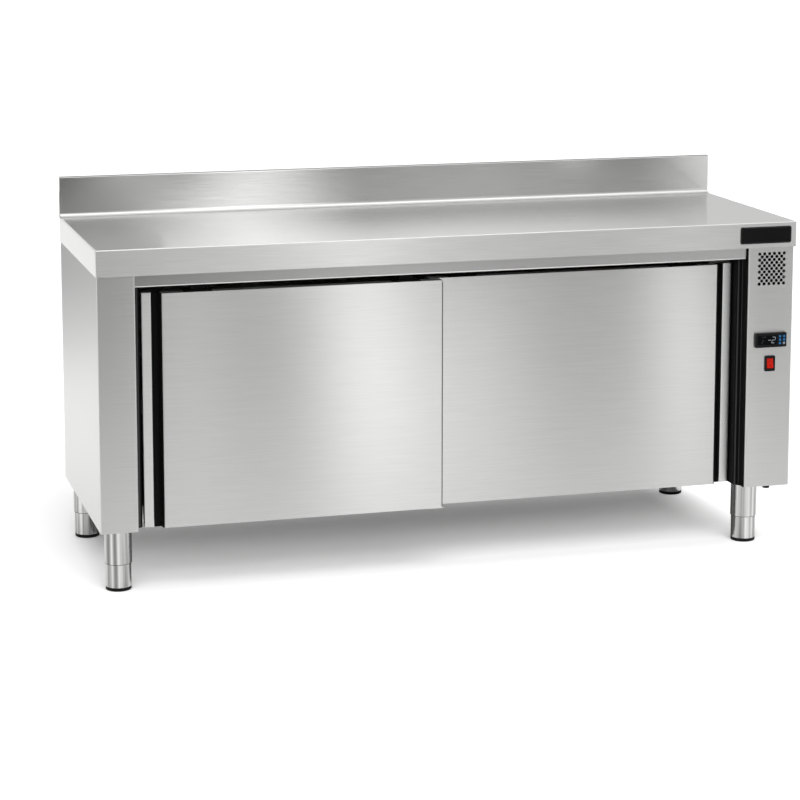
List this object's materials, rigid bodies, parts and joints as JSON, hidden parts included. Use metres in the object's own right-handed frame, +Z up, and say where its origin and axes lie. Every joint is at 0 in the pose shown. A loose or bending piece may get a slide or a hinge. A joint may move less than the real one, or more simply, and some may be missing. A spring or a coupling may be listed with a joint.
{
  "type": "hot cupboard",
  "caption": "Heated stainless steel cupboard on adjustable feet, with an upstand worktop, overlapping sliding doors with black finger pulls, and a control column with a grille.",
  "frame": {"origin": "on the floor under the middle of the worktop", "axes": "+X to the right as seen from the front, +Y to the back, +Z up"},
  "size_m": [1.8, 0.6052, 0.944],
  "materials": {
    "stainless_steel": "satin",
    "lining_steel": "satin",
    "dark_steel": "satin",
    "aluminium": "satin",
    "mineral_wool": "matte",
    "black_plastic": "satin",
    "black_rubber": "matte",
    "white_nylon": "satin",
    "red_plastic": "gloss",
    "blue_key": "satin",
    "pale_key": "satin",
    "display_window": "gloss",
    "gloss_black": "gloss"
  },
  "bodies": {
    "cabinet": {"worktop": "stainless_steel", "worktop_stiffeners": "stainless_steel", "left_panel": "stainless_steel", "right_panel": "stainless_steel", "control_panel": "stainless_steel", "back_panel": "stainless_steel", "base_tray": "stainless_steel", "door_header": "stainless_steel", "track_carrier": "stainless_steel", "door_track": "aluminium", "bottom_guide": "stainless_steel", "jamb_seals": "black_rubber", "chamber_floor": "lining_steel", "chamber_left_wall": "lining_steel", "chamber_rear_wall": "lining_steel", "chamber_ceiling": "lining_steel", "partition": "lining_steel", "air_baffle": "lining_steel", "mid_shelf": "lining_steel", "shelf_rails": "lining_steel", "insulation": "mineral_wool", "leg_tubes": "stainless_steel", "controller_case": "white_nylon", "controller_window": "white_nylon", "switch_housing": "gloss_black", "badge_plate": "gloss_black", "cable_gland": "black_plastic", "fan_motor": "dark_steel", "heater_element": "dark_steel", "temperature_probe": "dark_steel"},
    "left_door": {"left_door_skin": "stainless_steel", "left_door_back": "stainless_steel", "left_door_core": "mineral_wool", "left_door_pull": "black_plastic", "left_door_hangers": "dark_steel"},
    "right_door": {"right_door_skin": "stainless_steel", "right_door_back": "stainless_steel", "right_door_core": "mineral_wool", "right_door_pull": "black_plastic", "right_door_hangers": "dark_steel"},
    "left_roller_outer": {"left_roller_outer": "white_nylon"},
    "left_roller_inner": {"left_roller_inner": "white_nylon"},
    "right_roller_inner": {"right_roller_inner": "white_nylon"},
    "right_roller_outer": {"right_roller_outer": "white_nylon"},
    "leg_foot_front_left": {"foot_front_left": "stainless_steel", "pad_front_left": "black_rubber"},
    "leg_foot_front_right": {"foot_front_right": "stainless_steel", "pad_front_right": "black_rubber"},
    "leg_foot_rear_left": {"foot_rear_left": "stainless_steel", "pad_rear_left": "black_rubber"},
    "leg_foot_rear_right": {"foot_rear_right": "stainless_steel", "pad_rear_right": "black_rubber"},
    "power_rocker": {"rocker": "red_plastic"},
    "fan": {"fan_impeller": "aluminium"},
    "control_key_1": {"key_1": "blue_key"},
    "control_key_2": {"key_2": "blue_key"},
    "control_key_3": {"key_3": "blue_key"},
    "control_key_4": {"key_4": "blue_key"},
    "control_key_5": {"key_5": "blue_key"},
    "control_key_6": {"key_6": "pale_key"}
  },
  "joints": [
    {"name": "left_door_slide", "type": "slide", "parent": "cabinet", "child": "left_door", "axis": [1, 0, 0], "range_m": [0, 0.72]},
    {"name": "right_door_slide", "type": "slide", "parent": "cabinet", "child": "right_door", "axis": [1, 0, 0], "range_m": [-0.72, 0]},
    {"name": "left_roller_outer_spin", "type": "hinge", "parent": "left_door", "child": "left_roller_outer", "pos_m": [-0.6515, -0.2715, 0.7693], "axis": [0, 1, 0], "continuous": true},
    {"name": "left_roller_inner_spin", "type": "hinge", "parent": "left_door", "child": "left_roller_inner", "pos_m": [-0.13025, -0.2715, 0.7693], "axis": [0, 1, 0], "continuous": true},
    {"name": "right_roller_inner_spin", "type": "hinge", "parent": "right_door", "child": "right_roller_inner", "pos_m": [0.02475, -0.2365, 0.7693], "axis": [0, 1, 0], "continuous": true},
    {"name": "right_roller_outer_spin", "type": "hinge", "parent": "right_door", "child": "right_roller_outer", "pos_m": [0.6155, -0.2365, 0.7693], "axis": [0, 1, 0], "continuous": true},
    {"name": "front_left_foot_height", "type": "slide", "parent": "cabinet", "child": "leg_foot_front_left", "axis": [0, 0, 1], "range_m": [-0.008, 0.04]},
    {"name": "front_right_foot_height", "type": "slide", "parent": "cabinet", "child": "leg_foot_front_right", "axis": [0, 0, 1], "range_m": [-0.008, 0.04]},
    {"name": "rear_left_foot_height", "type": "slide", "parent": "cabinet", "child": "leg_foot_rear_left", "axis": [0, 0, 1], "range_m": [-0.008, 0.04]},
    {"name": "rear_right_foot_height", "type": "slide", "parent": "cabinet", "child": "leg_foot_rear_right", "axis": [0, 0, 1], "range_m": [-0.008, 0.04]},
    {"name": "power_rocker_tilt", "type": "hinge", "parent": "cabinet", "child": "power_rocker", "pos_m": [0.8335, -0.2975, 0.4734], "axis": [1, 0, 0], "range_deg": [0, 18]},
    {"name": "fan_spin", "type": "hinge", "parent": "cabinet", "child": "fan", "pos_m": [0.73, 0.02505, 0.46285], "axis": [1, 0, 0], "continuous": true},
    {"name": "control_key_1_press", "type": "slide", "parent": "cabinet", "child": "control_key_1", "axis": [0, 1, 0], "range_m": [0, 0.0005], "stiffness_N_per_m": 400},
    {"name": "control_key_2_press", "type": "slide", "parent": "cabinet", "child": "control_key_2", "axis": [0, 1, 0], "range_m": [0, 0.0005], "stiffness_N_per_m": 400},
    {"name": "control_key_3_press", "type": "slide", "parent": "cabinet", "child": "control_key_3", "axis": [0, 1, 0], "range_m": [0, 0.0005], "stiffness_N_per_m": 400},
    {"name": "control_key_4_press", "type": "slide", "parent": "cabinet", "child": "control_key_4", "axis": [0, 1, 0], "range_m": [0, 0.0005], "stiffness_N_per_m": 400},
    {"name": "control_key_5_press", "type": "slide", "parent": "cabinet", "child": "control_key_5", "axis": [0, 1, 0], "range_m": [0, 0.0005], "stiffness_N_per_m": 400},
    {"name": "control_key_6_press", "type": "slide", "parent": "cabinet", "child": "control_key_6", "axis": [0, 1, 0], "range_m": [0, 0.0005], "stiffness_N_per_m": 400}
  ],
  "couplings": [
    {"joint": "left_roller_outer_spin", "follows": "left_door_slide", "rad_per_m": 90.909},
    {"joint": "left_roller_inner_spin", "follows": "left_door_slide", "rad_per_m": 90.909},
    {"joint": "right_roller_inner_spin", "follows": "right_door_slide", "rad_per_m": 90.909},
    {"joint": "right_roller_outer_spin", "follows": "right_door_slide", "rad_per_m": 90.909}
  ]
}
